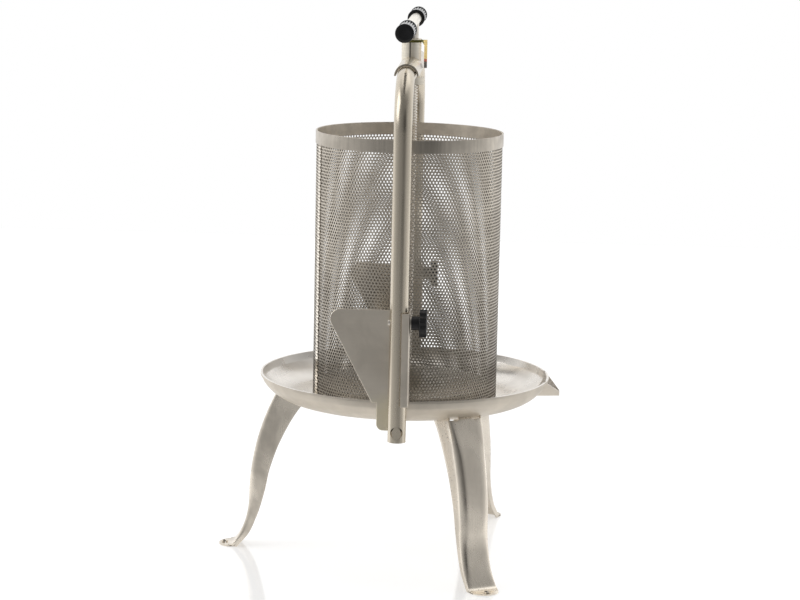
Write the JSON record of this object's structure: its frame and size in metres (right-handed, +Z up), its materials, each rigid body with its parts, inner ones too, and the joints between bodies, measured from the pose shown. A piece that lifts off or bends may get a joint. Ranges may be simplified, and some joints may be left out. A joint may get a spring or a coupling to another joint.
{
  "type": "screw fruit press",
  "caption": "Standing screw press: a perforated drum basket on a spouted tray with folded sheet legs, a bent tube frame, and a T-handle spindle that drives a press plate.",
  "frame": {"origin": "on the floor, at the centre of the circle of toe holes, on the axis of the spindle and basket", "axes": "+Z up along the spindle, +X towards the pouring lip, +Y towards the rear tube of the frame"},
  "size_m": [0.4932, 0.486, 0.7808],
  "materials": {
    "steel": "satin",
    "screw_steel": "machined",
    "black_plastic": "ribbed matte",
    "tag_strip": "matte"
  },
  "bodies": {
    "base": {"tray": "steel", "leg_left": "steel", "leg_front": "steel", "leg_rear": "steel", "cross_beam": "steel", "bracket_front": "steel", "bracket_rear": "steel", "pivot_pins": "screw_steel", "frame_tube_front": "steel", "frame_tube_rear": "steel", "frame_saddle": "steel", "spindle_nut": "screw_steel", "hang_tag": "tag_strip", "knob_bushes": "screw_steel"},
    "plate": {"press_plate": "steel", "swivel_socket": "steel", "swivel_keeper": "steel", "keeper_screws": "screw_steel"},
    "screw": {"spindle": "screw_steel", "handle_bar": "steel", "handle_grip_front": "black_plastic", "handle_grip_rear": "black_plastic"},
    "basket": {"basket_shell": "steel", "basket_rim_band": "steel", "basket_seam_strip": "steel"},
    "washer_front": {"knob_washer_front": "screw_steel"},
    "knob_front": {"knob_front": "black_plastic", "knob_screw_front": "screw_steel"},
    "washer_rear": {"knob_washer_rear": "screw_steel"},
    "knob_rear": {"knob_rear": "black_plastic", "knob_screw_rear": "screw_steel"}
  },
  "joints": [
    {"name": "press_travel", "type": "slide", "parent": "base", "child": "plate", "axis": [0, 0, 1], "range_m": [-0.012, 0.405]},
    {"name": "spindle_turn", "type": "hinge", "parent": "plate", "child": "screw", "pos_m": [0, 0, 0.255], "axis": [0, 0, 1], "range_deg": [-1090, 36460]},
    {"name": "basket_lift", "type": "slide", "parent": "base", "child": "basket", "axis": [0, 0, 1], "range_m": [0, 0.07]},
    {"name": "knob_front_travel", "type": "slide", "parent": "base", "child": "washer_front", "axis": [1, 0, 0], "range_m": [0, 0.0285]},
    {"name": "knob_front_turn", "type": "hinge", "parent": "washer_front", "child": "knob_front", "pos_m": [0.016, -0.2246, 0.376], "axis": [1, 0, 0], "range_deg": [0, 8215]},
    {"name": "knob_rear_travel", "type": "slide", "parent": "base", "child": "washer_rear", "axis": [1, 0, 0], "range_m": [0, 0.0285]},
    {"name": "knob_rear_turn", "type": "hinge", "parent": "washer_rear", "child": "knob_rear", "pos_m": [0.016, 0.2246, 0.376], "axis": [1, 0, 0], "range_deg": [0, 8215]}
  ],
  "couplings": [
    {"joint": "spindle_turn", "follows": "press_travel", "rad_per_m": 1570.8},
    {"joint": "knob_front_turn", "follows": "knob_front_travel", "rad_per_m": 5026.5},
    {"joint": "knob_rear_turn", "follows": "knob_rear_travel", "rad_per_m": 5026.5}
  ]
}
